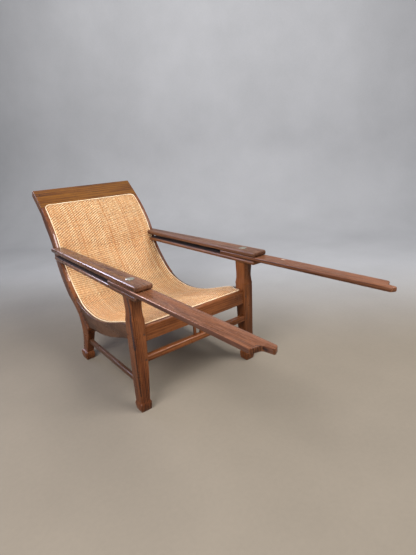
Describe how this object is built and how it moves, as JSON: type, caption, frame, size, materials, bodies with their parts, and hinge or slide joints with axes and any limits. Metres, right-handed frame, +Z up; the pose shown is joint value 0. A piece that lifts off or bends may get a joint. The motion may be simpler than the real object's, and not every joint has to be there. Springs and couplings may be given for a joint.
{
  "type": "planters chair",
  "caption": "Reclining hardwood armchair with a continuous S-curved woven cane seat and back, and leg rests that swing out from between the boards of its arms.",
  "frame": {"origin": "on the floor, at the middle of the bounding box with the leg rests swung forward", "axes": "+Z up; the chair faces -Y, so its leg rests point along -Y; +X is to the right of someone looking along +Y at the chair's front"},
  "size_m": [0.6636, 1.8267, 0.8573],
  "materials": {
    "teak": "waxed, mid reddish brown",
    "worn_teak": "worn, greyish brown",
    "peg_wood": "dark end grain",
    "cane": "close woven split cane, satin",
    "reed": "pale reed, satin",
    "pin_steel": "dull, worn"
  },
  "bodies": {
    "frame": {"arm_lower_left": "worn_teak", "arm_lower_right": "worn_teak", "arm_upper_left": "worn_teak", "arm_upper_right": "worn_teak", "back_leg_left": "teak", "back_leg_right": "teak", "back_rail": "teak", "cane_panel": "cane", "centre_slat_left": "teak", "centre_slat_right": "teak", "crest_rail": "teak", "front_leg_left": "teak", "front_leg_right": "teak", "front_rail": "teak", "front_stretcher": "teak", "peg_arm_lower_left": "peg_wood", "peg_arm_lower_right": "peg_wood", "peg_arm_upper_left": "peg_wood", "peg_arm_upper_right": "peg_wood", "peg_back_rail_left": "peg_wood", "peg_back_rail_right": "peg_wood", "peg_crest_left": "peg_wood", "peg_crest_right": "peg_wood", "peg_front_rail_left": "peg_wood", "peg_front_rail_right": "peg_wood", "peg_front_stretcher_left": "peg_wood", "peg_front_stretcher_right": "peg_wood", "peg_side_rail_front_left": "peg_wood", "peg_side_rail_front_right": "peg_wood", "peg_side_rail_high_left": "peg_wood", "peg_side_rail_high_right": "peg_wood", "peg_side_rail_low_left": "peg_wood", "peg_side_rail_low_right": "peg_wood", "peg_side_stretcher_back_left": "peg_wood", "peg_side_stretcher_back_right": "peg_wood", "peg_side_stretcher_front_left": "peg_wood", "peg_side_stretcher_front_right": "peg_wood", "pivot_pin_left": "pin_steel", "pivot_pin_right": "pin_steel", "reed_spline": "reed", "side_rail_left": "teak", "side_rail_right": "teak", "side_stretcher_left": "teak", "side_stretcher_right": "teak"},
    "left_leg_rest": {"leg_rest_left": "worn_teak"},
    "right_leg_rest": {"leg_rest_right": "worn_teak"}
  },
  "joints": [
    {"name": "left_leg_rest_swing", "type": "hinge", "parent": "frame", "child": "left_leg_rest", "pos_m": [-0.291, -0.18814, 0.518], "axis": [0, 0.0113, 0.9999], "range_deg": [-180, 0]},
    {"name": "right_leg_rest_swing", "type": "hinge", "parent": "frame", "child": "right_leg_rest", "pos_m": [0.291, -0.18814, 0.518], "axis": [0, 0.0113, 0.9999], "range_deg": [0, 180]}
  ]
}
